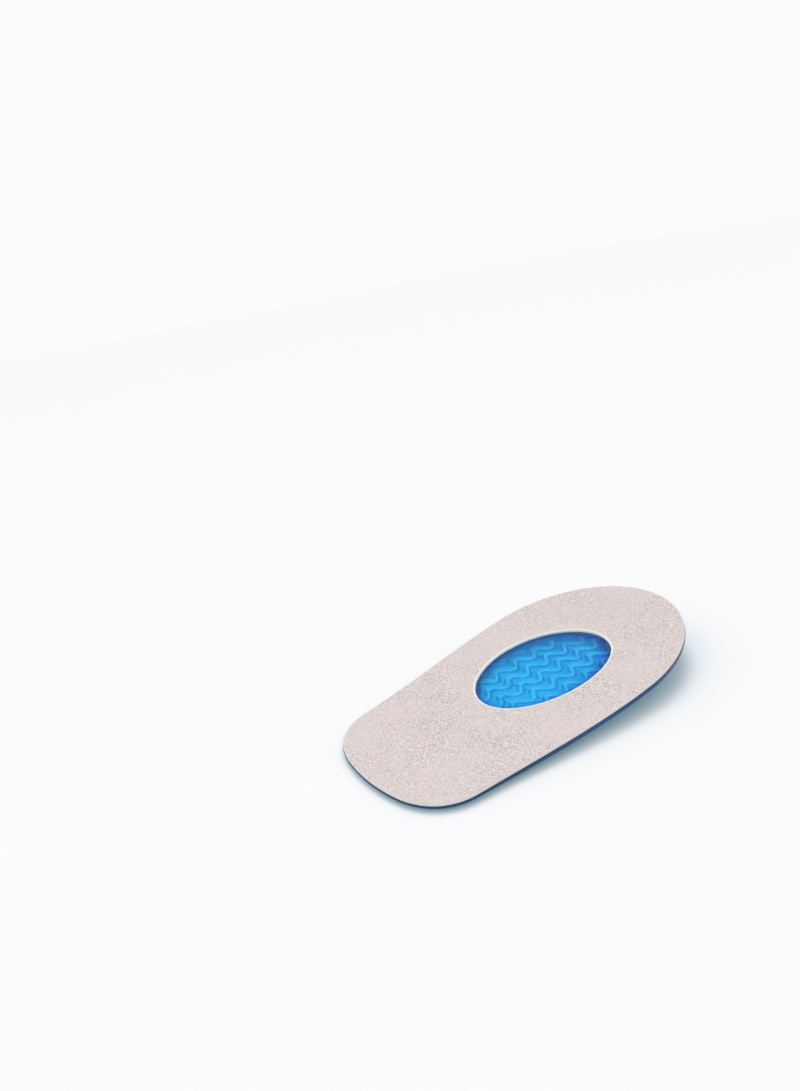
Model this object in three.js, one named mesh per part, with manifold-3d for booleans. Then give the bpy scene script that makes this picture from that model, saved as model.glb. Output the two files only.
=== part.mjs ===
// A gel heel cup for a shoe: one moulded body of soft clear gel, with a thin cloth cover
// bonded to the side that the heel sits on. An oval window in the cover bares the gel under
// the heel bone, and there the sole has a shallow recess with wavy cushioning ribs in it.
//
// Millimetres. The flat sole lies in the plane z = 0, +Y points to the toe and +X to one
// side. The origin is under the middle of the cup's length and width.

import * as THREE from "three";
import { mergeVertices } from "three/addons/utils/BufferGeometryUtils.js";
import Module from "manifold-3d";

const wasm = await Module();
wasm.setup();

const { lerp, smoothstep } = THREE.MathUtils;

// Rim of the gel, seen from above
const LENGTH = 105;
const WIDTH = 59;
const HEEL_TO_WIDEST = 35.5;
const FRONT_WIDTH = 48.8; // where the front corners begin
const FRONT_CORNER = 14;
const FRONT_BOW = 1; // how far the middle of the front edge stands ahead of its corners

// Rim of the gel, seen from the side: a sloping wall, and an upright land on top of it
const FRONT_WALL = 0.4;
const HEEL_WALL = 9.4;
const RIM_LAND = 1;
const RIM_CURVE = 1.6; // 1 is a straight climb to the heel, and more keeps the rim low for longer

// Seat of the heel, in the gel
const SEAT_GEL = 5.4; // gel height under the heel
const SEAT_FROM_HEEL = 44.8; // the middle of the seat
const SEAT_RAMP = 75; // length over which the front rises to the seat's height
const BANK_SHARE = 0.5; // share of the way from rim to middle that the banked side takes

// Flat sole, inside the rim
const SOLE_INSET_FRONT = 1.9;
const SOLE_INSET_SIDE = 5.3; // at the widest place
const SOLE_INSET_HEEL = 8;
const SOLE_WIDEST_AHEAD = 14.5; // how far ahead of the rim's widest place the sole's is

// Recess in the sole, a rounded shape with its tip towards the toe
const RECESS_DEPTH = 1.2;
const RECESS_WIDTH = 33.6;
const RECESS_LENGTH = 57;
const RECESS_FROM_HEEL = 20.5;
const RECESS_TIP_LENGTH = 22; // from the tip to the widest place

// Wavy ribs that stand in the recess and run from heel to toe
const RIB_HEIGHT = 0.8;
const RIB_WIDTH = 1.3;
const RIB_PITCH = 5;
const RIB_SWING = 1.6; // to each side of the rib's own line
const RIB_WAVE = 7.4; // length of one wave
const RIB_MARGIN = 1.2; // bare border between the ribs and the recess wall

// Cloth cover
const COVER_THICKNESS = 1;
const COVER_MARGIN = 0.2; // gel left bare round the cover's edge
const BOND_GAP = 0.3; // room for the adhesive
const WINDOW_LENGTH = 43.6;
const WINDOW_WIDTH = 29.8;

const FRONT_Y = LENGTH / 2;
const HEEL_Y = -LENGTH / 2;
const SEAT_Y = HEEL_Y + SEAT_FROM_HEEL;
const FRONT_GEL = FRONT_WALL + RIM_LAND;
const HEEL_GEL = HEEL_WALL + RIM_LAND;

const AROUND = 96; // points round an outline
const WAVE_STEPS = 8; // points along one wave of a rib
const OVAL_STEPS = 64;
const OVERLAP = 0.2; // how far a joined piece reaches into its neighbour
const ROUND_HANDLE = 0.5523; // a Bezier curve's handle for a quarter circle, in radii
const TIP_MARGIN = 1.3; // a margin's length at the recess's tip, where the flanks meet at a slant

// The wall from the edge of the sole to the foot of the rim's land. Each row is a share of the
// way out, with the share of the way up that it has at the sides, where the sole ends in a
// crisp edge, and at the back of the heel, where it ends in a soft bowl.
const WALL = [
  { out: 0, upSide: 0, upHeel: 0 },
  { out: 0.05, upSide: 0.02, upHeel: 0.005 },
  { out: 0.13, upSide: 0.09, upHeel: 0.03 },
  { out: 0.3, upSide: 0.28, upHeel: 0.13 },
  { out: 0.5, upSide: 0.51, upHeel: 0.3 },
  { out: 0.7, upSide: 0.73, upHeel: 0.52 },
  { out: 0.87, upSide: 0.9, upHeel: 0.77 },
  { out: 1, upSide: 1, upHeel: 1 },
];
const SOFT_FROM = 0.72; // share of the length from front to heel where the edge starts to soften
const SOFT_TO = 0.88;

// Rings of the seat, as shares of the way from the rim to the middle
const SEAT_RINGS = [0.04, 0.1, 0.18, 0.27, 0.37, 0.5, 0.65, 0.82];

// A smooth closed outline, symmetric about x = 0, as points that run anticlockwise seen from
// above, from the middle of the front edge.
function outline({ front, heel, half, widest, frontHalf, corner, bow }) {
  const edge = frontHalf - corner;
  const edgeY = front - bow;
  const cornerY = edgeY - corner;
  const reach = ROUND_HANDLE * corner;
  const third = (cornerY - widest) / 3;
  const lean = (half - frontHalf) / (cornerY - widest);
  const slope = (2 * bow) / edge;
  const quarter = (side) => [
    [side * edge, edgeY, side * (edge + reach), edgeY - slope * reach],
    [side * (frontHalf - lean * reach), cornerY + reach, side * frontHalf, cornerY],
    [side * (frontHalf + lean * third), cornerY - third, side * half, widest + third],
  ];
  const [left, right] = [quarter(-1), quarter(1)];
  const path = new THREE.Path();
  path.moveTo(0, front);
  path.bezierCurveTo(-edge / 3, front, (-2 * edge) / 3, edgeY + (slope * edge) / 3, left[0][0], left[0][1]);
  path.bezierCurveTo(left[0][2], left[0][3], ...left[1]);
  path.bezierCurveTo(...left[2], -half, widest);
  path.absellipse(0, widest, half, widest - heel, Math.PI, 2 * Math.PI, false);
  path.bezierCurveTo(right[2][2], right[2][3], right[2][0], right[2][1], right[1][2], right[1][3]);
  path.bezierCurveTo(right[1][0], right[1][1], right[0][2], right[0][3], right[0][0], right[0][1]);
  path.bezierCurveTo((2 * edge) / 3, edgeY + (slope * edge) / 3, edge / 3, front, 0, front);
  return path.getSpacedPoints(AROUND).slice(0, AROUND);
}

const RIM = outline({
  front: FRONT_Y,
  heel: HEEL_Y,
  half: WIDTH / 2,
  widest: HEEL_Y + HEEL_TO_WIDEST,
  frontHalf: FRONT_WIDTH / 2,
  corner: FRONT_CORNER,
  bow: FRONT_BOW,
});

const SOLE = outline({
  front: FRONT_Y - SOLE_INSET_FRONT,
  heel: HEEL_Y + SOLE_INSET_HEEL,
  half: WIDTH / 2 - SOLE_INSET_SIDE,
  widest: HEEL_Y + HEEL_TO_WIDEST + SOLE_WIDEST_AHEAD,
  frontHalf: FRONT_WIDTH / 2 - SOLE_INSET_FRONT,
  corner: FRONT_CORNER - SOLE_INSET_FRONT,
  bow: FRONT_BOW,
});

const backShare = (y) => (FRONT_Y - y) / LENGTH;

// Height of the gel's rim, and of its seat, above the sole
const rimHeight = (y) => FRONT_GEL + (HEEL_GEL - FRONT_GEL) * Math.max(0, backShare(y)) ** RIM_CURVE;
const seatHeight = (y) => lerp(FRONT_GEL, SEAT_GEL, smoothstep(FRONT_Y - y, 0, SEAT_RAMP));

// A point of the gel's dished top: inward is 0 at the rim and 1 in the middle of the seat.
function topPoint(rim, inward, lift = 0) {
  const y = lerp(rim.y, SEAT_Y, inward);
  const bank = 1 - smoothstep(inward, 0, BANK_SHARE);
  return new THREE.Vector3(rim.x * (1 - inward), y, lerp(seatHeight(y), rimHeight(rim.y), bank) + lift);
}

const topRing = (inward, lift = 0) => RIM.map((rim) => topPoint(rim, inward, lift));

// A ring of the outer wall
function wallRing({ out, upSide, upHeel }) {
  return RIM.map((rim, i) => {
    const edge = SOLE[i].clone().lerp(rim, out);
    const soft = smoothstep(backShare(rim.y), SOFT_FROM, SOFT_TO);
    const wall = rimHeight(rim.y) - RIM_LAND;
    return new THREE.Vector3(edge.x, edge.y, lerp(upSide, upHeel, soft) * wall);
  });
}

// A closed surface through rings of equal length, from a pole below to a pole above.
function loft(bottom, rings, top) {
  const count = rings[0].length;
  const points = [bottom, ...rings.flat(), top];
  const index = [];
  const at = (ring, i) => 1 + ring * count + (i % count);
  for (let i = 0; i < count; i++) {
    index.push(0, at(0, i + 1), at(0, i));
    for (let ring = 0; ring + 1 < rings.length; ring++) {
      index.push(at(ring, i), at(ring, i + 1), at(ring + 1, i + 1));
      index.push(at(ring, i), at(ring + 1, i + 1), at(ring + 1, i));
    }
    index.push(points.length - 1, at(rings.length - 1, i), at(rings.length - 1, i + 1));
  }
  return new THREE.BufferGeometry().setFromPoints(points).setIndex(index);
}

function solidOf(geometry) {
  const bare = geometry.clone();
  bare.deleteAttribute("normal");
  bare.deleteAttribute("uv");
  const merged = mergeVertices(bare);
  return new wasm.Manifold(
    new wasm.Mesh({
      numProp: 3,
      vertProperties: merged.attributes.position.array,
      triVerts: new Uint32Array(merged.index.array),
    }),
  );
}

function geometryOf(solid) {
  const { vertProperties, triVerts } = solid.getMesh();
  const geometry = new THREE.BufferGeometry();
  geometry.setAttribute("position", new THREE.BufferAttribute(vertProperties, 3));
  geometry.setIndex(new THREE.BufferAttribute(triVerts, 1));
  geometry.computeVertexNormals();
  return geometry;
}

// A flat shape pushed up from one height to another
function prism(shape, from, to, curveSegments) {
  const geometry = new THREE.ExtrudeGeometry(shape, { depth: to - from, bevelEnabled: false, curveSegments });
  return solidOf(geometry.translate(0, 0, from));
}

// The recess's outline, drawn in by a margin: a tip to the toe, bowed flanks, round shoulders
// and a long round end to the heel.
function recessShape(margin) {
  const half = RECESS_WIDTH / 2 - margin;
  const end = HEEL_Y + RECESS_FROM_HEEL + margin;
  const tip = HEEL_Y + RECESS_FROM_HEEL + RECESS_LENGTH - TIP_MARGIN * margin;
  const widest = HEEL_Y + RECESS_FROM_HEEL + RECESS_LENGTH - RECESS_TIP_LENGTH;
  const flank = [0.55 * half, lerp(tip, widest, 0.16)];
  const shoulder = [half, lerp(widest, tip, 0.4)];
  const shape = new THREE.Shape();
  shape.moveTo(0, tip);
  shape.bezierCurveTo(-flank[0], flank[1], -shoulder[0], shoulder[1], -half, widest);
  shape.absellipse(0, widest, half, widest - end, Math.PI, 2 * Math.PI, false);
  shape.bezierCurveTo(shoulder[0], shoulder[1], flank[0], flank[1], 0, tip);
  return shape;
}

// One wavy rib, a strip about a sine line that runs along Y. Where the line leans, the strip
// is wider along X, so that it is as wide as elsewhere when measured across the line.
function ribShape(x) {
  const from = HEEL_Y + RECESS_FROM_HEEL;
  const steps = Math.ceil((RECESS_LENGTH / RIB_WAVE) * WAVE_STEPS);
  const right = [];
  const left = [];
  for (let i = 0; i <= steps; i++) {
    const turn = (i / WAVE_STEPS) * 2 * Math.PI;
    const middle = x + RIB_SWING * Math.sin(turn);
    const lean = (RIB_SWING * Math.cos(turn) * 2 * Math.PI) / RIB_WAVE;
    const half = (RIB_WIDTH / 2) * Math.hypot(1, lean);
    const y = from + (i / WAVE_STEPS) * RIB_WAVE;
    right.push(new THREE.Vector2(middle + half, y));
    left.push(new THREE.Vector2(middle - half, y));
  }
  return new THREE.Shape([...right, ...left.reverse()]);
}

function makeGelBody() {
  const sole = SOLE.map((p) => new THREE.Vector3(p.x, p.y, 0));
  const wall = WALL.slice(1).map(wallRing);
  const seat = [0, ...SEAT_RINGS].map((inward) => topRing(inward));
  const blank = loft(new THREE.Vector3(0, SEAT_Y, 0), [sole, ...wall, ...seat], topPoint(RIM[0], 1));
  const recess = prism(recessShape(0), -RECESS_DEPTH, RECESS_DEPTH);
  const field = prism(recessShape(RIB_MARGIN), RECESS_DEPTH - RIB_HEIGHT, RECESS_DEPTH + OVERLAP);
  let gel = solidOf(blank).subtract(recess);
  const count = Math.ceil(RECESS_WIDTH / RIB_PITCH);
  for (let i = 0; i < count; i++) {
    const x = (i - (count - 1) / 2) * RIB_PITCH;
    const rib = prism(ribShape(x), 0, RECESS_DEPTH + 2 * OVERLAP);
    gel = gel.add(rib.intersect(field));
  }
  return geometryOf(gel);
}

function makeCover() {
  const low = BOND_GAP;
  const high = BOND_GAP + COVER_THICKNESS;
  const middle = new THREE.Vector2(0, SEAT_Y);
  const edge = (lift) => RIM.map((rim) => topPoint(rim, COVER_MARGIN / rim.distanceTo(middle), lift));
  const under = SEAT_RINGS.map((inward) => topRing(inward, low)).reverse();
  const over = SEAT_RINGS.map((inward) => topRing(inward, high));
  const sheet = loft(
    topPoint(RIM[0], 1, low),
    [...under, edge(low), edge(high), ...over],
    topPoint(RIM[0], 1, high),
  );
  const oval = new THREE.Shape();
  oval.absellipse(0, SEAT_Y, WINDOW_WIDTH / 2, WINDOW_LENGTH / 2, 0, 2 * Math.PI, false);
  const window = prism(oval, 0, HEEL_GEL + high, OVAL_STEPS);
  return geometryOf(solidOf(sheet).subtract(window));
}

function part(name, geometry, colour, roughness) {
  const material = new THREE.MeshStandardMaterial({ color: colour, roughness, metalness: 0 });
  const mesh = new THREE.Mesh(geometry, material);
  mesh.name = name;
  return mesh;
}

const heelCup = new THREE.Group();
heelCup.add(part("gel_body", makeGelBody(), 0x1583dc, 0.12));
heelCup.add(part("cloth_cover", makeCover(), 0xd2c6c0, 0.9));

export default heelCup;
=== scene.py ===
"""A gel heel cup on a pale table: clear blue gel under a beige cloth cover with an oval window."""

import math

import bmesh
import bpy
import numpy as np
from mathutils import Matrix, Vector, geometry


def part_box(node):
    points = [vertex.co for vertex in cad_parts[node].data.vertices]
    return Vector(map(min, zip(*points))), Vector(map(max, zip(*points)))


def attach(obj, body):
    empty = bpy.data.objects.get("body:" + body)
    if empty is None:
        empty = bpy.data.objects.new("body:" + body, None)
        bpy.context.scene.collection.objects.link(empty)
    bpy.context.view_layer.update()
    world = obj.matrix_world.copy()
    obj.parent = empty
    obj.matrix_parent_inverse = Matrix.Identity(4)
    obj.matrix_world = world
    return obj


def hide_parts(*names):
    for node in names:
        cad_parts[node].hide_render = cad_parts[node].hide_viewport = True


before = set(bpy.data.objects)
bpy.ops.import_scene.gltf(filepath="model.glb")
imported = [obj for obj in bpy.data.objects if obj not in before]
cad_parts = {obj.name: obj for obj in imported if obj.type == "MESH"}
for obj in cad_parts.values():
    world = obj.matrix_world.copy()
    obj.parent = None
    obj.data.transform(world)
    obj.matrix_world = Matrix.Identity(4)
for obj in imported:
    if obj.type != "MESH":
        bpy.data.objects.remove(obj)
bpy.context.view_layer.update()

# The camera.
# It looks down at the cup over one corner of its toe, from a hand's length away, and is tipped a
# little to one side. The cup lies below and to the right of the picture's middle.
MM = 0.001
PICTURE_LONG_SIDE = 1091
LENS_PX = 776
CAMERA_PLACE = Vector((-144.6, 119.2, 116.0)) * MM
CAMERA_AZIMUTH, CAMERA_ELEVATION, CAMERA_ROLL = (math.radians(a) for a in (-121.35, 19.72, -10.49))
camera_data = bpy.data.cameras.new("camera")
camera_data.sensor_width = 36
camera_data.lens = camera_data.sensor_width * LENS_PX / PICTURE_LONG_SIDE
camera_data.clip_start, camera_data.clip_end = 0.01, 20
camera = bpy.data.objects.new("camera", camera_data)
camera_back = Vector((
    math.sin(CAMERA_AZIMUTH) * math.cos(CAMERA_ELEVATION),
    -math.cos(CAMERA_AZIMUTH) * math.cos(CAMERA_ELEVATION),
    math.sin(CAMERA_ELEVATION),
))
turn = camera_back.to_track_quat("Z", "Y").to_matrix().to_4x4()
camera.matrix_world = Matrix.Translation(CAMERA_PLACE) @ turn @ Matrix.Rotation(CAMERA_ROLL, 4, "Z")
bpy.context.scene.collection.objects.link(camera)
bpy.context.scene.camera = camera

# The table and the light.
# A matt, nearly white table top in a light tent. The tent's roof is bright and its walls are dimmer,
# and a broad soft lamp shines through it from behind the heel. Past the table the camera sees the same
# white as the table's, and the tent is dimmer in reflections, so that they don't veil the window.
TABLE_SIZE = 8
TABLE_GAP = 0.02 * MM
TABLE_COLOUR = (0.86, 0.86, 0.87, 1)
TABLE_ROUGHNESS, TABLE_SHINE = 0.9, 0.1
ROOF_LIGHT = 1.0
WALL_LIGHT = 0.68
GLOSS_LIGHT = 0.45
WALL_TOP, ROOF_EDGE = 0.45, 0.85
SEEN_WHITE = 0.968
LAMP_AZIMUTH, LAMP_ELEVATION = math.radians(46), math.radians(64)
LAMP_BREADTH = math.radians(32)
LAMP_LIGHT = 0.95
bpy.ops.mesh.primitive_plane_add(size=TABLE_SIZE, location=(0, 0, -TABLE_GAP))
table = bpy.context.object
table.name = "table"
table_matt = bpy.data.materials.new("table")
table_matt.use_nodes = True
table_shader = table_matt.node_tree.nodes["Principled BSDF"]
table_shader.inputs["Base Color"].default_value = TABLE_COLOUR
table_shader.inputs["Roughness"].default_value = TABLE_ROUGHNESS
table_shader.inputs["Specular IOR Level"].default_value = TABLE_SHINE
table.data.materials.append(table_matt)

tent = bpy.data.worlds.new("tent")
tent.use_nodes = True
tent_nodes, tent_links = tent.node_tree.nodes, tent.node_tree.links
tent_light = tent_nodes["Background"]
tent_up = tent_nodes.new("ShaderNodeSeparateXYZ")
tent_links.new(tent_nodes.new("ShaderNodeTexCoord").outputs["Generated"], tent_up.inputs[0])
tent_rise = tent_nodes.new("ShaderNodeMapRange")
tent_rise.interpolation_type = "SMOOTHSTEP"
tent_links.new(tent_up.outputs["Z"], tent_rise.inputs["Value"])
for name, value in {
    "From Min": WALL_TOP, "From Max": ROOF_EDGE, "To Min": WALL_LIGHT, "To Max": ROOF_LIGHT,
}.items():
    tent_rise.inputs[name].default_value = value
tent_light.inputs["Color"].default_value = (1, 1, 1, 1)
tent_path = tent_nodes.new("ShaderNodeLightPath")
tent_gloss = tent_nodes.new("ShaderNodeMapRange")
tent_gloss.inputs["To Min"].default_value, tent_gloss.inputs["To Max"].default_value = 1, GLOSS_LIGHT
tent_links.new(tent_path.outputs["Is Glossy Ray"], tent_gloss.inputs["Value"])
tent_strength = tent_nodes.new("ShaderNodeMath")
tent_strength.operation = "MULTIPLY"
tent_links.new(tent_rise.outputs["Result"], tent_strength.inputs[0])
tent_links.new(tent_gloss.outputs["Result"], tent_strength.inputs[1])
tent_links.new(tent_strength.outputs[0], tent_light.inputs["Strength"])
tent_seen = tent_nodes.new("ShaderNodeBackground")
tent_seen.inputs["Color"].default_value = (1, 1, 1, 1)
tent_seen.inputs["Strength"].default_value = SEEN_WHITE
tent_mix = tent_nodes.new("ShaderNodeMixShader")
tent_links.new(tent_path.outputs["Is Camera Ray"], tent_mix.inputs["Fac"])
tent_links.new(tent_light.outputs[0], tent_mix.inputs[1])
tent_links.new(tent_seen.outputs[0], tent_mix.inputs[2])
tent_links.new(tent_mix.outputs[0], tent_nodes["World Output"].inputs["Surface"])
bpy.context.scene.world = tent

lamp = bpy.data.lights.new("lamp", "SUN")
lamp.angle = LAMP_BREADTH
lamp.energy = LAMP_LIGHT
lamp_object = bpy.data.objects.new("lamp", lamp)
lamp_from = Vector((
    math.sin(LAMP_AZIMUTH) * math.cos(LAMP_ELEVATION),
    -math.cos(LAMP_AZIMUTH) * math.cos(LAMP_ELEVATION),
    math.sin(LAMP_ELEVATION),
))
lamp_object.visible_transmission = False
lamp_turn = lamp_from.to_track_quat("Z", "Y").to_matrix().to_4x4()
lamp_object.matrix_world = Matrix.Translation(lamp_from) @ lamp_turn
bpy.context.scene.collection.objects.link(lamp_object)
bpy.context.scene.view_settings.view_transform = "Standard"

# The gel body.
# One piece of soft clear elastomer gel, cast in a mould: a flat sole, a sloping wall with an upright
# land at its top, and a dished seat. In the sole is a shallow recess, and in it stand wavy ribs.
gel_low, gel_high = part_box("gel_body")
FRONT_Y, HEEL_Y = gel_high.y, gel_low.y
LENGTH = FRONT_Y - HEEL_Y
HALF_WIDTH = gel_high.x
HEEL_TO_WIDEST = 35.5 * MM
FRONT_HALF_WIDTH = 24.4 * MM
FRONT_CORNER = 14 * MM
FRONT_BOW = 1 * MM
RIM_LAND = 1.05 * MM
FRONT_LAND = 0.5 * MM
LAND_RAMP = 40 * MM
FRONT_GEL = 1.4 * MM
HEEL_GEL = gel_high.z
RIM_CURVE = 1.6
SEAT_GEL = 5.4 * MM
SEAT_Y = HEEL_Y + 44.8 * MM
SEAT_RAMP = 75 * MM
BANK_SHARE = 0.5
SOLE_INSET_FRONT, SOLE_INSET_SIDE, SOLE_INSET_HEEL = 1.9 * MM, 5.3 * MM, 8 * MM
SOLE_WIDEST_AHEAD = 14.5 * MM
RECESS_DEPTH = 1.2 * MM
RECESS_HALF_WIDTH = 16.8 * MM
RECESS_END_Y = HEEL_Y + 20.5 * MM
RECESS_LENGTH = 57 * MM
RECESS_TIP_LENGTH = 22 * MM
TIP_MARGIN = 1.3
TIP_FULLNESS, TIP_SLOPE, SHOULDER = 0.55, 0.16, 0.4
RIB_HEIGHT = 0.8 * MM
RIB_WIDTH = 1.3 * MM
RIB_PITCH = 5 * MM
RIB_SWING = 1.6 * MM
RIB_WAVE = 7.4 * MM
ROWS_PER_WAVE = 20
WINDOW_HALF_LENGTH = 21.8 * MM
WINDOW_HALF_WIDTH = 14.9 * MM
GEL_TINT = (0.02, 0.53, 0.955, 1)
# A darker blue for random clouds in the gel and for the shade painted inside the window
GEL_CLOUD_AND_SHADE_TINT = (0.008, 0.12, 0.6, 1)
GEL_FRONT_TINT = (0.07, 0.62, 0.96, 1)
GEL_HEEL_TINT = (0.003, 0.2, 0.86, 1)
# A highlight painted on the rib crests
GEL_CREST_HIGHLIGHT_TINT = (0.36, 0.86, 1, 1)
GEL_WALL_TINT = (0.06, 0.52, 0.97, 1)
# The darker shade painted at the land and in a thin line along the window's edge
GEL_EDGE_SHADE_TINT = (0.035, 0.075, 0.17, 1)
CLEAR_GEL = 0.78
CLOUDY_GEL = 0.42
CLEAR_WAVES, CLOUDY_WAVES = 0.7, 0.2
GEL_THROUGH = (0.4, 0.83, 0.985, 1)
GEL_SHINE = 0.3
GEL_IOR = 1.42
NOISE_LOW, NOISE_HIGH = 0.35, 0.65
CLOUDS, CLOUD_SHARE = 160, 0.16
GLOSS_SPOTS, GLOSSIEST, DULLEST = 420, 0.03, 0.11
WAVES, WAVE_HEIGHT = 330, 0.15 * MM
GRAIN, GRAIN_HEIGHT, GRAIN_STRENGTH = 700, 0.04 * MM, 0.25
AROUND = 288
ARC_STEPS = 120
BEZIER_STEPS = 60
SEAT_RINGS = 32
MIDDLE_RINGS = 13
MIDDLE_HOLE = 0.02
SAME_HEIGHT = 0.001 * MM
SAME_POINT = 0.002 * MM
CDT_SLACK = 1e-6

# The recess's floor: how far in from the recess's outline it ends, how far in from there its first
# points are, and how far in from the outline the ribs start and have their whole height
FLOOR_INSET = 0.5 * MM
FLOOR_MARGIN = 0.2 * MM
RIBS_START, RIBS_WHOLE = 0.5 * MM, 1.4 * MM

# The recess's edge from its floor down to the sole: the way out from its outline, and above the table
RECESS_EDGE = [
    {"out": -0.2 * MM, "up": RECESS_DEPTH},
    {"out": -0.05 * MM, "up": RECESS_DEPTH - 0.25 * MM},
    {"out": 0, "up": 0.2 * MM},
    {"out": 0.25 * MM, "up": 0},
    {"out": 0.7 * MM, "up": 0},
]

# The sole's rows, as shares of the way from the recess's edge to the sole's
SOLE_ROWS = (0.4, 0.8, 0.96)

# The wall from the sole's edge to the foot of the land: shares of the way out, and of the way up at
# the sides and at the back of the heel
WALL = [
    {"out": 0, "side": 0, "heel": 0},
    {"out": 0.05, "side": 0.02, "heel": 0.005},
    {"out": 0.13, "side": 0.09, "heel": 0.03},
    {"out": 0.3, "side": 0.28, "heel": 0.13},
    {"out": 0.5, "side": 0.51, "heel": 0.3},
    {"out": 0.7, "side": 0.73, "heel": 0.52},
    {"out": 0.87, "side": 0.9, "heel": 0.77},
    {"out": 0.96, "side": 0.97, "heel": 0.93},
    {"out": 1, "side": 1, "heel": 1},
]
SOFT_FROM, SOFT_TO = 0.72, 0.88

# The land's rows between its foot and the rim, as shares of its height, the rows of the rim's rounding
# in millimetres in from the rim, and the seat's first row. Its last row under the cloth is a little
# outside the window's edge.
LAND_ROWS = (0.25, 0.6, 0.8, 1)
RIM_INSETS = (0.15, 0.5)
SEAT_STARTS = 0.9 * MM
WINDOW_OVERLAP = 0.3 * MM

# The shade painted into the gel's colour inside the window: millimetres in from the window's edge,
# and how strong the broad painted shade and the darker painted line at the edge are
WINDOW_SHADE = [
    {"in": 0, "painted_window_shade": 1, "painted_edge_shade": 1},
    {"in": 0.5, "painted_window_shade": 0.95, "painted_edge_shade": 0.6},
    {"in": 1.1, "painted_window_shade": 0.75, "painted_edge_shade": 0.1},
    {"in": 1.9, "painted_window_shade": 0.4, "painted_edge_shade": 0},
    {"in": 2.9, "painted_window_shade": 0.17, "painted_edge_shade": 0},
    {"in": 4.2, "painted_window_shade": 0, "painted_edge_shade": 0},
]
HEEL_SHADE = 1.8
HEEL_SHADE_FROM = -0.3
RIM_SHADE_FROM = 0.88

# Beside a rib's own line, in half widths of the rib: where the floor has lines of points, where the
# rib's top ends, and where its foot is
RIB_LINES = (-2, -1.7, -1.4, -1.1, -0.8, -0.5, -0.2, 0.2, 0.5, 0.8, 1.1, 1.4, 1.7, 2)
RIB_TOP, RIB_FOOT = 0.45, 2.0

# How long a Bezier handle is for a quarter circle, as a share of its radius
ROUND_HANDLE = 0.5523


def smoothstep(low, high, value):
    share = np.clip((value - low) / (high - low), 0, 1)
    return share * share * (3 - 2 * share)


def bezier(*points):
    t = np.linspace(0, 1, BEZIER_STEPS)[:-1, None]
    a, b, c, d = (np.array(p, float) for p in points)
    return a * (1 - t) ** 3 + 3 * b * t * (1 - t) ** 2 + 3 * c * t * t * (1 - t) + d * t ** 3


def spaced(points, count):
    """The same closed line as points set evenly along it, from its first point on."""
    closed = np.vstack([points, points[:1]])
    along = np.concatenate([[0], np.cumsum(np.linalg.norm(np.diff(closed, axis=0), axis=1))])
    at = np.linspace(0, along[-1], count, endpoint=False)
    return np.stack([np.interp(at, along, closed[:, k]) for k in (0, 1)], 1)


def mirrored(left):
    """A closed line from its left half, which runs from the front's middle to the heel's."""
    right = left[::-1] * [-1, 1]
    return np.vstack([left, right[:-1]])


def outline(front, heel, half, widest, front_half, corner, bow):
    """The rim's or the sole's outline: elliptic heel, straight sides, round corners, bowed front."""
    edge, edge_y = front_half - corner, front - bow
    corner_y = edge_y - corner
    reach = ROUND_HANDLE * corner
    third = (corner_y - widest) / 3
    lean = (half - front_half) / (corner_y - widest)
    slope = 2 * bow / edge
    heel_angle = np.linspace(0, math.pi / 2, ARC_STEPS)
    left = np.vstack([
        bezier((0, front), (-edge / 3, front),
               (-2 * edge / 3, edge_y + slope * edge / 3), (-edge, edge_y)),
        bezier((-edge, edge_y), (-edge - reach, edge_y - slope * reach),
               (-front_half + lean * reach, corner_y + reach), (-front_half, corner_y)),
        bezier((-front_half, corner_y), (-front_half - lean * third, corner_y - third),
               (-half, widest + third), (-half, widest)),
        np.stack([-half * np.cos(heel_angle), widest - (widest - heel) * np.sin(heel_angle)], 1),
    ])
    return spaced(mirrored(left), AROUND)


def recess_outline(margin):
    """The recess's outline, drawn in by a margin."""
    half = RECESS_HALF_WIDTH - margin
    end = RECESS_END_Y + margin
    tip = RECESS_END_Y + RECESS_LENGTH - TIP_MARGIN * margin
    widest = RECESS_END_Y + RECESS_LENGTH - RECESS_TIP_LENGTH
    round_end = np.linspace(0, math.pi / 2, ARC_STEPS)
    left = np.vstack([
        bezier((0, tip), (-TIP_FULLNESS * half, tip + TIP_SLOPE * (widest - tip)),
               (-half, widest + SHOULDER * (tip - widest)), (-half, widest)),
        np.stack([-half * np.cos(round_end), widest - (widest - end) * np.sin(round_end)], 1),
    ])
    return spaced(mirrored(left), AROUND)


def rim_height(y):
    share = np.clip((FRONT_Y - y) / LENGTH, 0, 1)
    return FRONT_GEL + (HEEL_GEL - FRONT_GEL) * share ** RIM_CURVE


def land_foot(y):
    """The height of the foot of the rim's upright land, which is lower at the front."""
    at_front = 1 - smoothstep(0, LAND_RAMP, FRONT_Y - y)
    return rim_height(y) - RIM_LAND + (RIM_LAND - FRONT_LAND) * at_front


def seat_height(y):
    return FRONT_GEL + (SEAT_GEL - FRONT_GEL) * smoothstep(0, SEAT_RAMP, FRONT_Y - y)


rim = outline(
    FRONT_Y, HEEL_Y, HALF_WIDTH, HEEL_Y + HEEL_TO_WIDEST, FRONT_HALF_WIDTH, FRONT_CORNER, FRONT_BOW,
)
sole = outline(
    FRONT_Y - SOLE_INSET_FRONT, HEEL_Y + SOLE_INSET_HEEL, HALF_WIDTH - SOLE_INSET_SIDE,
    HEEL_Y + HEEL_TO_WIDEST + SOLE_WIDEST_AHEAD, FRONT_HALF_WIDTH - SOLE_INSET_FRONT,
    FRONT_CORNER - SOLE_INSET_FRONT, FRONT_BOW,
)
seat_middle = np.array([0, SEAT_Y])
rim_reach = np.linalg.norm(rim - seat_middle, axis=1)

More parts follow.
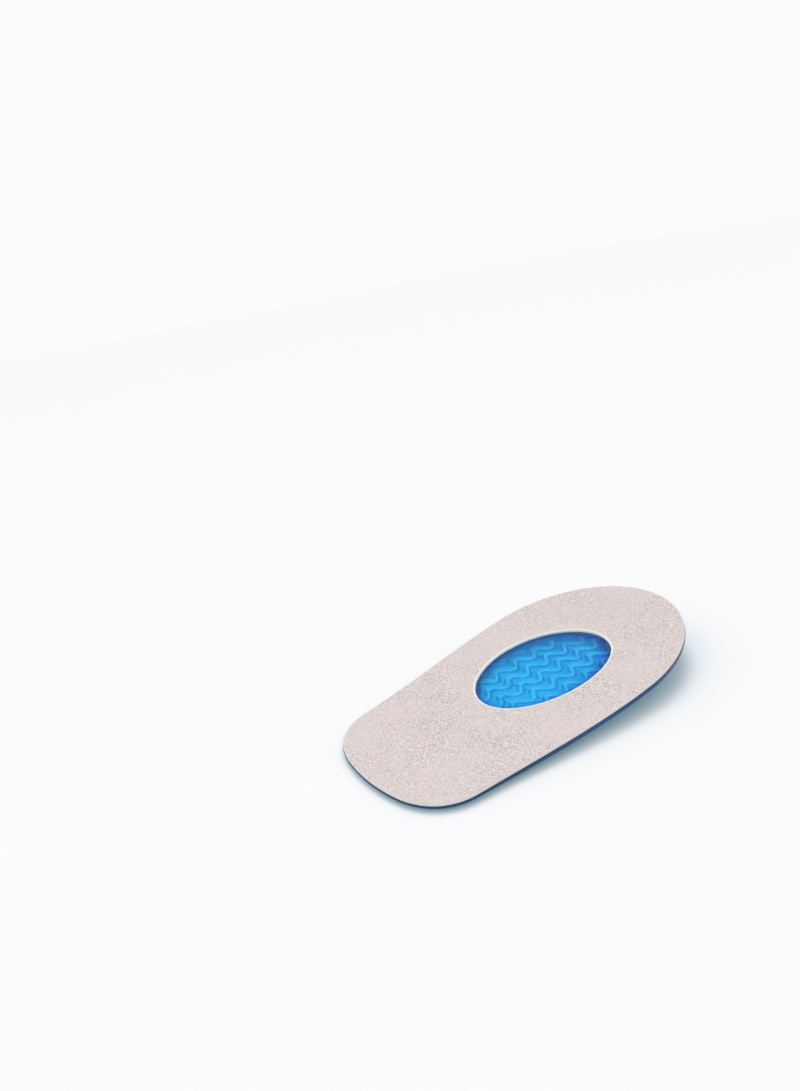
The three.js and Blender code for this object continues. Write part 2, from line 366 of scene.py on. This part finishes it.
# The cover's window, as shares of the way from the rim to the middle of the seat
window_angle = np.arctan2(rim[:, 0] / WINDOW_HALF_WIDTH, (rim[:, 1] - SEAT_Y) / WINDOW_HALF_LENGTH)
window_reach = np.hypot(
    WINDOW_HALF_WIDTH * np.sin(window_angle), WINDOW_HALF_LENGTH * np.cos(window_angle),
)
window_inward = 1 - window_reach / rim_reach


def top_ring(inward, lift=0.0):
    """A ring of the dished top, from 0 at the rim to 1 in the seat's middle, lifted off the gel."""
    flat = rim + (seat_middle - rim) * np.reshape(inward, (-1, 1))
    bank = 1 - smoothstep(0, BANK_SHARE, np.ravel(inward))
    floor = seat_height(flat[:, 1])
    return np.column_stack([flat, floor + (rim_height(rim[:, 1]) - floor) * bank + lift])


def flat_ring(points, z):
    return np.column_stack([points, np.full(len(points), z)])


def corners_cut(rings, times=2):
    """More rings between the given ones, with every bend rounded. The first and last ring stay."""
    for _ in range(times):
        cut = [rings[0]]
        for a, b in zip(rings, rings[1:]):
            cut += [0.75 * a + 0.25 * b, 0.25 * a + 0.75 * b]
        rings = [*cut, rings[-1]]
    return rings


def loft_into(mesh, rings, pole):
    """Adds a wall of quads through rings of equal length, closed with a fan at a pole."""
    rows = [[mesh.verts.new(p) for p in ring] for ring in rings]
    for low, high in zip(rows, rows[1:]):
        for i in range(AROUND):
            mesh.faces.new((low[i - 1], low[i], high[i], high[i - 1]))
    top = mesh.verts.new(pole)
    for i in range(AROUND):
        mesh.faces.new((rows[-1][i - 1], rows[-1][i], top))
    return rows


def rib_lean(y):
    return RIB_SWING * np.cos((y - RECESS_END_Y) / RIB_WAVE * 2 * math.pi) * 2 * math.pi / RIB_WAVE


def floor_points():
    """Points for the recess's floor in lines along the ribs, close together on their flanks."""
    count = math.ceil(2 * RECESS_HALF_WIDTH / RIB_PITCH)
    rows = np.arange(RECESS_END_Y, RECESS_END_Y + RECESS_LENGTH, RIB_WAVE / ROWS_PER_WAVE)
    half = RIB_WIDTH / 2 * np.hypot(1, rib_lean(rows))
    line = RIB_SWING * np.sin((rows - RECESS_END_Y) / RIB_WAVE * 2 * math.pi)
    points = []
    for rib in range(count):
        x = (rib - (count - 1) / 2) * RIB_PITCH + line
        for share in RIB_LINES:
            points.append(np.stack([x + share * half, rows], 1))
        points.append(np.stack([x + RIB_PITCH / 2, rows], 1))
    return np.vstack(points)


def distance_inside(points, line):
    """How far each point lies inside a closed line, and less than nothing outside it."""
    start, step = line, np.roll(line, -1, axis=0) - line
    gap = points[:, None] - start[None]
    along = np.clip((gap * step).sum(2) / (step * step).sum(1), 0, 1)
    near = np.linalg.norm(gap - along[..., None] * step[None], axis=2).min(1)
    above = start[:, 1] > points[:, None, 1]
    rising = above != (np.roll(start, -1, axis=0)[:, 1] > points[:, None, 1])
    with np.errstate(divide="ignore", invalid="ignore"):
        cross = start[:, 0] + (points[:, None, 1] - start[:, 1]) / step[:, 1] * step[:, 0]
    inside = (rising & (points[:, None, 0] < cross)).sum(1) % 2 == 1
    return np.where(inside, near, -near)


def recess_floor(line):
    """The recess's floor inside a closed line: (points, triangles). The line's points come first."""
    inner = floor_points()
    inner = inner[distance_inside(inner, line) > FLOOR_MARGIN]
    scaled = [Vector(p) for p in np.vstack([line, inner]) / MM]
    verts, _, faces, *_ = geometry.delaunay_2d_cdt(scaled, [], [list(range(len(line)))], 1, CDT_SLACK)
    return np.array([v[:] for v in verts]) * MM, faces


def rib_tree():
    """The wavy ribs, as a rule over the recess's floor.

    Near each line x = swing sin(2 pi y / wave) the floor drops towards the table by the rib's height,
    with a flat top and soft feet. The tree also marks the ribs and their field, and gives the faces
    their gel.
    """
    tree = bpy.data.node_groups.new("wavy ribs", "GeometryNodeTree")
    sockets = [
        ("Mesh", "INPUT", "NodeSocketGeometry"), ("Mesh", "OUTPUT", "NodeSocketGeometry"),
        ("Height", "INPUT", "NodeSocketFloat"), ("Width", "INPUT", "NodeSocketFloat"),
        ("Pitch", "INPUT", "NodeSocketFloat"), ("Swing", "INPUT", "NodeSocketFloat"),
        ("Wave", "INPUT", "NodeSocketFloat"), ("First Y", "INPUT", "NodeSocketFloat"),
        ("Clear Gel", "INPUT", "NodeSocketMaterial"), ("Cloudy Gel", "INPUT", "NodeSocketMaterial"),
    ]
    for name, side, kind in sockets:
        tree.interface.new_socket(name=name, in_out=side, socket_type=kind)
    nodes, links = tree.nodes, tree.links
    given = nodes.new("NodeGroupInput").outputs

    def maths(operation, *values):
        node = nodes.new("ShaderNodeMath")
        node.operation = operation
        for slot, value in zip(node.inputs, values):
            if isinstance(value, bpy.types.NodeSocket):
                links.new(value, slot)
            else:
                slot.default_value = value
        return node.outputs[0]

    place = nodes.new("ShaderNodeSeparateXYZ")
    links.new(nodes.new("GeometryNodeInputPosition").outputs[0], place.inputs[0])
    x, y = place.outputs["X"], place.outputs["Y"]
    number = maths("DIVIDE", 2 * math.pi, given["Wave"])
    phase = maths("MULTIPLY", maths("SUBTRACT", y, given["First Y"]), number)
    across = maths("SUBTRACT", x, maths("MULTIPLY", given["Swing"], maths("SINE", phase)))
    half_pitch = maths("MULTIPLY", given["Pitch"], 0.5)
    wrapped = maths("WRAP", across, half_pitch, maths("MULTIPLY", half_pitch, -1.0))
    lean = maths("MULTIPLY", maths("MULTIPLY", given["Swing"], number), maths("COSINE", phase))
    stretch = maths("SQRT", maths("MULTIPLY_ADD", lean, lean, 1.0))
    half = maths("MULTIPLY", maths("MULTIPLY", given["Width"], 0.5), stretch)
    near = maths("DIVIDE", maths("ABSOLUTE", wrapped), half)
    crest = nodes.new("ShaderNodeMapRange")
    crest.interpolation_type = "SMOOTHSTEP"
    links.new(near, crest.inputs["Value"])
    crest_range = {"From Min": RIB_TOP, "From Max": RIB_FOOT, "To Min": 1.0, "To Max": 0.0}
    for name, value in crest_range.items():
        crest.inputs[name].default_value = value
    share = nodes.new("GeometryNodeInputNamedAttribute")
    share.data_type = "FLOAT"
    share.inputs["Name"].default_value = "rib_share"
    crest_share = maths("MULTIPLY", crest.outputs["Result"], share.outputs[0])
    kept = nodes.new("GeometryNodeStoreNamedAttribute")
    kept.data_type, kept.domain = "FLOAT", "POINT"
    kept.inputs["Name"].default_value = "rib_crest"
    links.new(given["Mesh"], kept.inputs["Geometry"])
    links.new(crest_share, kept.inputs["Value"])
    down = nodes.new("ShaderNodeCombineXYZ")
    drop = maths("MULTIPLY", crest_share, given["Height"])
    links.new(maths("MULTIPLY", drop, -1.0), down.inputs["Z"])
    floor_kept = nodes.new("GeometryNodeStoreNamedAttribute")
    floor_kept.data_type, floor_kept.domain = "FLOAT", "POINT"
    floor_kept.inputs["Name"].default_value = "rib_floor"
    links.new(kept.outputs[0], floor_kept.inputs["Geometry"])
    links.new(share.outputs[0], floor_kept.inputs["Value"])
    move = nodes.new("GeometryNodeSetPosition")
    links.new(floor_kept.outputs[0], move.inputs["Geometry"])
    links.new(down.outputs[0], move.inputs["Offset"])
    real = nodes.new("GeometryNodeRealizeInstances")
    links.new(move.outputs[0], real.inputs["Geometry"])
    clear = nodes.new("GeometryNodeSetMaterial")
    links.new(real.outputs[0], clear.inputs["Geometry"])
    links.new(given["Clear Gel"], clear.inputs["Material"])
    outside = nodes.new("GeometryNodeInputNamedAttribute")
    outside.data_type = "FLOAT"
    outside.inputs["Name"].default_value = "cloudy"
    cloudy = nodes.new("GeometryNodeSetMaterial")
    links.new(clear.outputs[0], cloudy.inputs["Geometry"])
    links.new(maths("GREATER_THAN", outside.outputs[0], 0.5), cloudy.inputs["Selection"])
    links.new(given["Cloudy Gel"], cloudy.inputs["Material"])
    links.new(cloudy.outputs[0], nodes.new("NodeGroupOutput").inputs["Mesh"])
    return tree


def made_by(tree, base, name, values):
    """What a geometry nodes tree makes of a mesh, as a plain object."""
    maker = bpy.data.objects.new(name + "_maker", base)
    bpy.context.scene.collection.objects.link(maker)
    modifier = maker.modifiers.new("tree", "NODES")
    modifier.node_group = tree
    for item in tree.interface.items_tree:
        if item.in_out == "INPUT" and item.name in values:
            modifier[item.identifier] = values[item.name]
    bpy.context.view_layer.update()
    evaluated = maker.evaluated_get(bpy.context.evaluated_depsgraph_get())
    shape = bpy.data.meshes.new_from_object(evaluated)
    bpy.data.objects.remove(maker)
    shape.name = name
    made = bpy.data.objects.new(name, shape)
    bpy.context.scene.collection.objects.link(made)
    return made


def noise(tree, place, scale, detail, distortion=0.0):
    node = tree.nodes.new("ShaderNodeTexNoise")
    node.inputs["Scale"].default_value = scale
    node.inputs["Detail"].default_value = detail
    node.inputs["Distortion"].default_value = distortion
    tree.links.new(place, node.inputs["Vector"])
    return node.outputs["Fac"]


def spread(tree, value, low, high, least=0.0, most=1.0):
    """A value stretched from one range to another."""
    node = tree.nodes.new("ShaderNodeMapRange")
    tree.links.new(value, node.inputs["Value"])
    for name, number in {"From Min": low, "From Max": high, "To Min": least, "To Max": most}.items():
        node.inputs[name].default_value = number
    return node.outputs["Result"]


def colours_mixed(tree, share, first, second):
    node = tree.nodes.new("ShaderNodeMix")
    node.data_type = "RGBA"
    tree.links.new(share, node.inputs["Factor"])
    for slot, value in (("A", first), ("B", second)):
        socket = next(s for s in node.inputs if s.name == slot and s.type == "RGBA")
        if isinstance(value, bpy.types.NodeSocket):
            tree.links.new(value, socket)
        else:
            socket.default_value = value
    return next(s for s in node.outputs if s.type == "RGBA")


def bumped(tree, height, strength, distance):
    node = tree.nodes.new("ShaderNodeBump")
    node.inputs["Distance"].default_value = distance
    tree.links.new(height, node.inputs["Height"])
    if isinstance(strength, bpy.types.NodeSocket):
        tree.links.new(strength, node.inputs["Strength"])
    else:
        node.inputs["Strength"].default_value = strength
    return node


def marked(tree, name):
    """A named attribute of the mesh."""
    node = tree.nodes.new("ShaderNodeAttribute")
    node.attribute_name = name
    return node.outputs["Fac"]


def skin_group():
    """The gel's skin: its tint, its gloss and its surface.

    The tint is cloudy. The recess's floor deepens towards the heel, and its rib crests are painted
    paler as a highlight. Shade is painted into the tint inside the window, and a darker shade is
    painted at the land and along the window's edge. Gloss and surface are faintly uneven.
    """
    group = bpy.data.node_groups.new("gel skin", "ShaderNodeTree")
    group.interface.new_socket(name="Tint", in_out="INPUT", socket_type="NodeSocketColor")
    group.interface.new_socket(name="Waves", in_out="INPUT", socket_type="NodeSocketFloat")
    outputs = {"Color": "NodeSocketColor", "Roughness": "NodeSocketFloat", "Normal": "NodeSocketVector"}
    for name, kind in outputs.items():
        group.interface.new_socket(name=name, in_out="OUTPUT", socket_type=kind)
    links = group.links
    given, put = group.nodes.new("NodeGroupInput"), group.nodes.new("NodeGroupOutput")
    place = group.nodes.new("ShaderNodeTexCoord").outputs["Object"]
    split = group.nodes.new("ShaderNodeSeparateXYZ")
    links.new(place, split.inputs[0])

    def spots(scale, detail, least, most):
        cloud = noise(group, place, scale, detail)
        return spread(group, cloud, NOISE_LOW, NOISE_HIGH, least, most)

    window_front, window_back = SEAT_Y + WINDOW_HALF_LENGTH, SEAT_Y - WINDOW_HALF_LENGTH
    heelwards = spread(group, split.outputs["Y"], window_front, window_back)
    floor_tint = colours_mixed(group, heelwards, GEL_FRONT_TINT, GEL_HEEL_TINT)
    cloudiness = spots(CLOUDS, 2, 0, CLOUD_SHARE)
    clouded = colours_mixed(group, cloudiness, given.outputs["Tint"], GEL_CLOUD_AND_SHADE_TINT)
    floored = colours_mixed(group, marked(group, "rib_floor"), clouded, floor_tint)
    # Painted highlight: the rib crests are painted paler
    crest_highlighted = colours_mixed(group, marked(group, "rib_crest"), floored, GEL_CREST_HIGHLIGHT_TINT)
    # Painted shade inside the window's edge, reaching further at the heel's end
    shaded = colours_mixed(group, marked(group, "painted_window_shade"), crest_highlighted, GEL_CLOUD_AND_SHADE_TINT)
    # Darker painted shade at the land and in a thin line along the window's edge
    darkened = colours_mixed(group, marked(group, "painted_edge_shade"), shaded, GEL_EDGE_SHADE_TINT)
    links.new(darkened, put.inputs["Color"])
    links.new(spots(GLOSS_SPOTS, 3, GLOSSIEST, DULLEST), put.inputs["Roughness"])
    waves = bumped(group, spots(WAVES, 1, 0, 1), given.outputs["Waves"], WAVE_HEIGHT)
    grain = bumped(group, spots(GRAIN, 2, 0, 1), GRAIN_STRENGTH, GRAIN_HEIGHT)
    links.new(waves.outputs[0], grain.inputs["Normal"])
    links.new(grain.outputs[0], put.inputs["Normal"])
    return group


def gel_matter(name, skin, tint, clear, waves):
    """A gel that sends a share of the light through, and scatters the rest in its tint."""
    matter = bpy.data.materials.new(name)
    matter.use_nodes = True
    nodes, links = matter.node_tree.nodes, matter.node_tree.links
    shader = nodes["Principled BSDF"]
    shader.inputs["IOR"].default_value = GEL_IOR
    shader.inputs["Specular IOR Level"].default_value = GEL_SHINE
    shader.inputs["Transmission Weight"].default_value = clear
    surface = nodes.new("ShaderNodeGroup")
    surface.node_tree = skin
    surface.inputs["Tint"].default_value = tint
    surface.inputs["Waves"].default_value = waves
    links.new(surface.outputs["Color"], shader.inputs["Base Color"])
    links.new(surface.outputs["Roughness"], shader.inputs["Roughness"])
    links.new(surface.outputs["Normal"], shader.inputs["Normal"])
    # Light between a matt surface and the lamp goes straight through, tinted at each of two surfaces
    path = nodes.new("ShaderNodeLightPath")
    straight = nodes.new("ShaderNodeMath")
    straight.operation = "MAXIMUM"
    links.new(path.outputs["Is Shadow Ray"], straight.inputs[0])
    links.new(path.outputs["Is Diffuse Ray"], straight.inputs[1])
    through = nodes.new("ShaderNodeBsdfTransparent")
    through.inputs["Color"].default_value = (*[math.sqrt(c) for c in GEL_THROUGH[:3]], 1)
    mix = nodes.new("ShaderNodeMixShader")
    links.new(straight.outputs[0], mix.inputs["Fac"])
    links.new(shader.outputs[0], mix.inputs[1])
    links.new(through.outputs[0], mix.inputs[2])
    links.new(mix.outputs[0], nodes["Material Output"].inputs["Surface"])
    return matter


gel_skin = skin_group()
clear_gel = gel_matter("clear_blue_gel", gel_skin, GEL_TINT, CLEAR_GEL, CLEAR_WAVES)
cloudy_gel = gel_matter("cloudy_blue_gel", gel_skin, GEL_WALL_TINT, CLOUDY_GEL, CLOUDY_WAVES)

gel_mesh = bmesh.new()
rib_share = gel_mesh.verts.layers.float.new("rib_share")
# Masks of painted shade: darker at the land and the window's edge, broad inside the window
edge_shade_layer = gel_mesh.verts.layers.float.new("painted_edge_shade")
window_shade_layer = gel_mesh.verts.layers.float.new("painted_window_shade")
cloudy_faces = gel_mesh.faces.layers.float.new("cloudy")
floor_line = recess_outline(FLOOR_INSET)
points, triangles = recess_floor(floor_line)
to_recess_wall = distance_inside(points, floor_line) + FLOOR_INSET
share = smoothstep(RIBS_START, RIBS_WHOLE, to_recess_wall)
floor_verts = [gel_mesh.verts.new((*p, RECESS_DEPTH)) for p in points]
for vert, value in zip(floor_verts, share):
    vert[rib_share] = value
for face in triangles:
    gel_mesh.faces.new([floor_verts[i] for i in face])
recess_edge = recess_outline(0)
wall_rings = []
soft = smoothstep(SOFT_FROM, SOFT_TO, (FRONT_Y - rim[:, 1]) / LENGTH)
wall_height = land_foot(rim[:, 1])
for row in WALL:
    up = row["side"] + (row["heel"] - row["side"]) * soft
    wall_rings.append(np.column_stack([sole + (rim - sole) * row["out"], up * wall_height]))
land_top = rim_height(rim[:, 1])
cage = [
    flat_ring(floor_line, RECESS_DEPTH),
    *[flat_ring(recess_outline(-row["out"]), row["up"]) for row in RECESS_EDGE],
    *[flat_ring((1 - out) * recess_edge + out * sole, 0) for out in SOLE_ROWS],
    *wall_rings,
    *[np.column_stack([rim, wall_height + (land_top - wall_height) * up]) for up in LAND_ROWS],
    *[top_ring(inset * MM / rim_reach) for inset in RIM_INSETS],
]
# The seat's rings run parallel to the window's edge, and the painted shade inside it reaches further at
# the heel's end
outer_edge = SEAT_STARTS / rim_reach
window_foot = window_inward - WINDOW_OVERLAP / rim_reach
window_y = rim[:, 1] + (SEAT_Y - rim[:, 1]) * window_inward
heel_share = smoothstep(HEEL_SHADE_FROM, 1, (SEAT_Y - window_y) / WINDOW_HALF_LENGTH)
shade_reach = 1 + (HEEL_SHADE - 1) * heel_share
shade_places = [window_inward + row["in"] * MM * shade_reach / rim_reach for row in WINDOW_SHADE]
shade_end = shade_places[-1]
seat_shares = np.linspace(0, 1, SEAT_RINGS)
middle_shares = np.linspace(0, 1, MIDDLE_RINGS + 1)[1:]
gel_rings = [
    *corners_cut(cage),
    *[top_ring(outer_edge + (window_foot - outer_edge) * share) for share in seat_shares],
    *[top_ring(place) for place in shade_places],
    *[top_ring(shade_end + (1 - MIDDLE_HOLE - shade_end) * share) for share in middle_shares],
]
gel_rows = loft_into(gel_mesh, gel_rings, (0, SEAT_Y, seat_height(SEAT_Y)))
shade_start = len(gel_rings) - MIDDLE_RINGS - len(WINDOW_SHADE)
for number, (row, ring) in enumerate(zip(gel_rows, gel_rings)):
    # The land and the rim get the darker painted shade. The rings inside the window take the painted
    # shade from the table above.
    way_out = 1 - np.abs(ring[:, :2] - rim).mean() / np.abs(sole - rim).mean()
    shade = {"painted_window_shade": 0, "painted_edge_shade": smoothstep(RIM_SHADE_FROM, 1, way_out)}
    if 0 <= number - shade_start < len(WINDOW_SHADE):
        shade = WINDOW_SHADE[number - shade_start]
    for vert in row:
        vert[edge_shade_layer], vert[window_shade_layer] = shade["painted_edge_shade"], shade["painted_window_shade"]
sole_start = next(i for i, ring in enumerate(gel_rings) if np.abs(ring[:, 2]).max() < SAME_HEIGHT)
rim_top = max(i for i, ring in enumerate(gel_rings) if np.abs(ring[:, :2] - rim).max() < SAME_HEIGHT)
outside = {vert for row in gel_rows[sole_start:rim_top + 1] for vert in row}
for face in gel_mesh.faces:
    face[cloudy_faces] = all(vert in outside for vert in face.verts)
bmesh.ops.remove_doubles(gel_mesh, verts=gel_mesh.verts, dist=SAME_POINT)
bmesh.ops.recalc_face_normals(gel_mesh, faces=gel_mesh.faces)
gel_base = bpy.data.meshes.new("gel_base")
gel_mesh.to_mesh(gel_base)
gel_mesh.free()
gel = made_by(rib_tree(), gel_base, "gel_cup", {
    "Height": RIB_HEIGHT, "Width": RIB_WIDTH, "Pitch": RIB_PITCH, "Swing": RIB_SWING, "Wave": RIB_WAVE,
    "First Y": RECESS_END_Y, "Clear Gel": clear_gel, "Cloudy Gel": cloudy_gel,
})
gel.data.polygons.foreach_set("use_smooth", [True] * len(gel.data.polygons))
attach(gel, "root")
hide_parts("gel_body")

# The cloth cover.
# One sheet of brushed microfibre, die-cut to the rim and bonded all over the gel. An oval window is
# cut out of it under the heel. Its cut edges are pressed round, and show the cloth's paler core.
CLOTH_THICKNESS = 0.75 * MM
CLOTH_LIFT = 0.04 * MM
CLOTH_MARGIN = 0.12 * MM
CUT_UNEVENNESS = 0.05 * MM
CUT_SEED = 7
RIM_ROUNDING = 0.8 * MM
WINDOW_ROUNDING = 0.6 * MM
CLOTH_COLOUR = (0.83, 0.752, 0.742, 1)
CLOTH_SHADE = (0.43, 0.37, 0.35, 1)
CLOTH_CORE = (0.82, 0.82, 0.82, 1)
CLOTH_SMOOTH = (0.685, 0.612, 0.6, 1)
CLOTH_ROUGHNESS, CLOTH_SHINE = 0.95, 0.2
NAP, NAP_HEIGHT, NAP_STRENGTH = 2300, 0.15 * MM, 0.6
NAP_DETAIL, NAP_TWIST = 2, 1.0
PATCHES, PATCH_DETAIL, PATCH_TWIST = 75, 3, 0.6
PATCH_LOW, PATCH_HIGH = 0.36, 0.62
LEAST_NAP = 0.45
FACE_RINGS = 28
BACK_RINGS = 14

# The rounding of a cut edge, from the cloth's face down to its back: shares of the rounding's breadth
# in from the edge, and of the thickness up from the back
EDGE = [
    {"in": 1.35, "up": 1},
    {"in": 1, "up": 1},
    {"in": 0.62, "up": 0.98},
    {"in": 0.34, "up": 0.9},
    {"in": 0.14, "up": 0.76},
    {"in": 0.03, "up": 0.57},
    {"in": 0, "up": 0.38},
    {"in": 0, "up": 0.12},
    {"in": 0.08, "up": 0},
]

# How much of the paler core shows at the rim, and where along the rounding it starts and stops to fade
RIM_CORE = 0.7
RIM_CORE_ENDS = (0.05, 0.5)
WINDOW_CORE_ENDS = (0.6, 1.35)

# The cut is a little uneven
cut_walk = np.random.default_rng(CUT_SEED).normal(size=AROUND)
cut_walk = CUT_UNEVENNESS * (np.roll(cut_walk, 1) + cut_walk + np.roll(cut_walk, -1)) / 3
rim_cut = (CLOTH_MARGIN + np.abs(0.5 * cut_walk)) / rim_reach
window_cut = window_inward + cut_walk / rim_reach


def edge_row(row):
    """The height above the gel of a row of the edge's rounding."""
    return CLOTH_LIFT + row["up"] * CLOTH_THICKNESS


def rim_row(row):
    return top_ring(rim_cut + row["in"] * RIM_ROUNDING / rim_reach, edge_row(row))


def window_row(row):
    return top_ring(window_cut - row["in"] * WINDOW_ROUNDING / rim_reach, edge_row(row))


def between(row, count):
    """Rings of the sheet's face or back between its rim's and its window's rounding."""
    first = rim_cut + row["in"] * RIM_ROUNDING / rim_reach
    last = window_cut - row["in"] * WINDOW_ROUNDING / rim_reach
    shares = np.linspace(0, 1, count + 2)[1:-1]
    return [top_ring(first + (last - first) * share, edge_row(row)) for share in shares]


cloth_rings = [rim_row(row) for row in EDGE[::-1]]
cloth_rings += between(EDGE[0], FACE_RINGS)
cloth_rings += [window_row(row) for row in EDGE]
cloth_rings += between(EDGE[-1], BACK_RINGS)[::-1]
rim_core = [RIM_CORE * (1 - smoothstep(*RIM_CORE_ENDS, row["in"])) for row in EDGE]
window_core = [1 - smoothstep(*WINDOW_CORE_ENDS, row["in"]) for row in EDGE]
core = rim_core[::-1] + [0] * FACE_RINGS + window_core + [0] * BACK_RINGS
cloth_mesh = bmesh.new()
cut_edge = cloth_mesh.verts.layers.float.new("cut_edge")
rows = [[cloth_mesh.verts.new(p) for p in ring] for ring in cloth_rings]
for row, value in zip(rows, core):
    for vert in row:
        vert[cut_edge] = value
for a, b in zip(rows, rows[1:] + rows[:1]):
    for i in range(AROUND):
        cloth_mesh.faces.new((a[i - 1], a[i], b[i], b[i - 1]))
bmesh.ops.recalc_face_normals(cloth_mesh, faces=cloth_mesh.faces)
cloth_data = bpy.data.meshes.new("cover")
cloth_mesh.to_mesh(cloth_data)
cloth_mesh.free()
cover = bpy.data.objects.new("cover", cloth_data)
bpy.context.scene.collection.objects.link(cover)
cover.data.polygons.foreach_set("use_smooth", [True] * len(cover.data.polygons))

cloth_matter = bpy.data.materials.new("brushed_microfibre")
cloth_matter.use_nodes = True
cloth_tree = cloth_matter.node_tree
cloth_shader = cloth_tree.nodes["Principled BSDF"]
cloth_shader.inputs["Roughness"].default_value = CLOTH_ROUGHNESS
cloth_shader.inputs["Specular IOR Level"].default_value = CLOTH_SHINE

# A pebbled nap of about half a millimetre, brushed patches of several millimetres, a paler cut edge
cloth_place = cloth_tree.nodes.new("ShaderNodeTexCoord").outputs["Object"]
nap = noise(cloth_tree, cloth_place, NAP, NAP_DETAIL, NAP_TWIST)
nap_share = spread(cloth_tree, nap, NOISE_LOW, NOISE_HIGH)
napped = colours_mixed(cloth_tree, nap_share, CLOTH_SHADE, CLOTH_COLOUR)
brushing = noise(cloth_tree, cloth_place, PATCHES, PATCH_DETAIL, PATCH_TWIST)
patches = spread(cloth_tree, brushing, PATCH_LOW, PATCH_HIGH, 1.0, LEAST_NAP)
patched = colours_mixed(cloth_tree, patches, CLOTH_SMOOTH, napped)
edged = colours_mixed(cloth_tree, marked(cloth_tree, "cut_edge"), patched, CLOTH_CORE)
cloth_tree.links.new(edged, cloth_shader.inputs["Base Color"])
nap_bump = bumped(cloth_tree, nap, NAP_STRENGTH, NAP_HEIGHT)
cloth_tree.links.new(nap_bump.outputs[0], cloth_shader.inputs["Normal"])
cover.data.materials.append(cloth_matter)
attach(cover, "root")
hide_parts("cloth_cover")
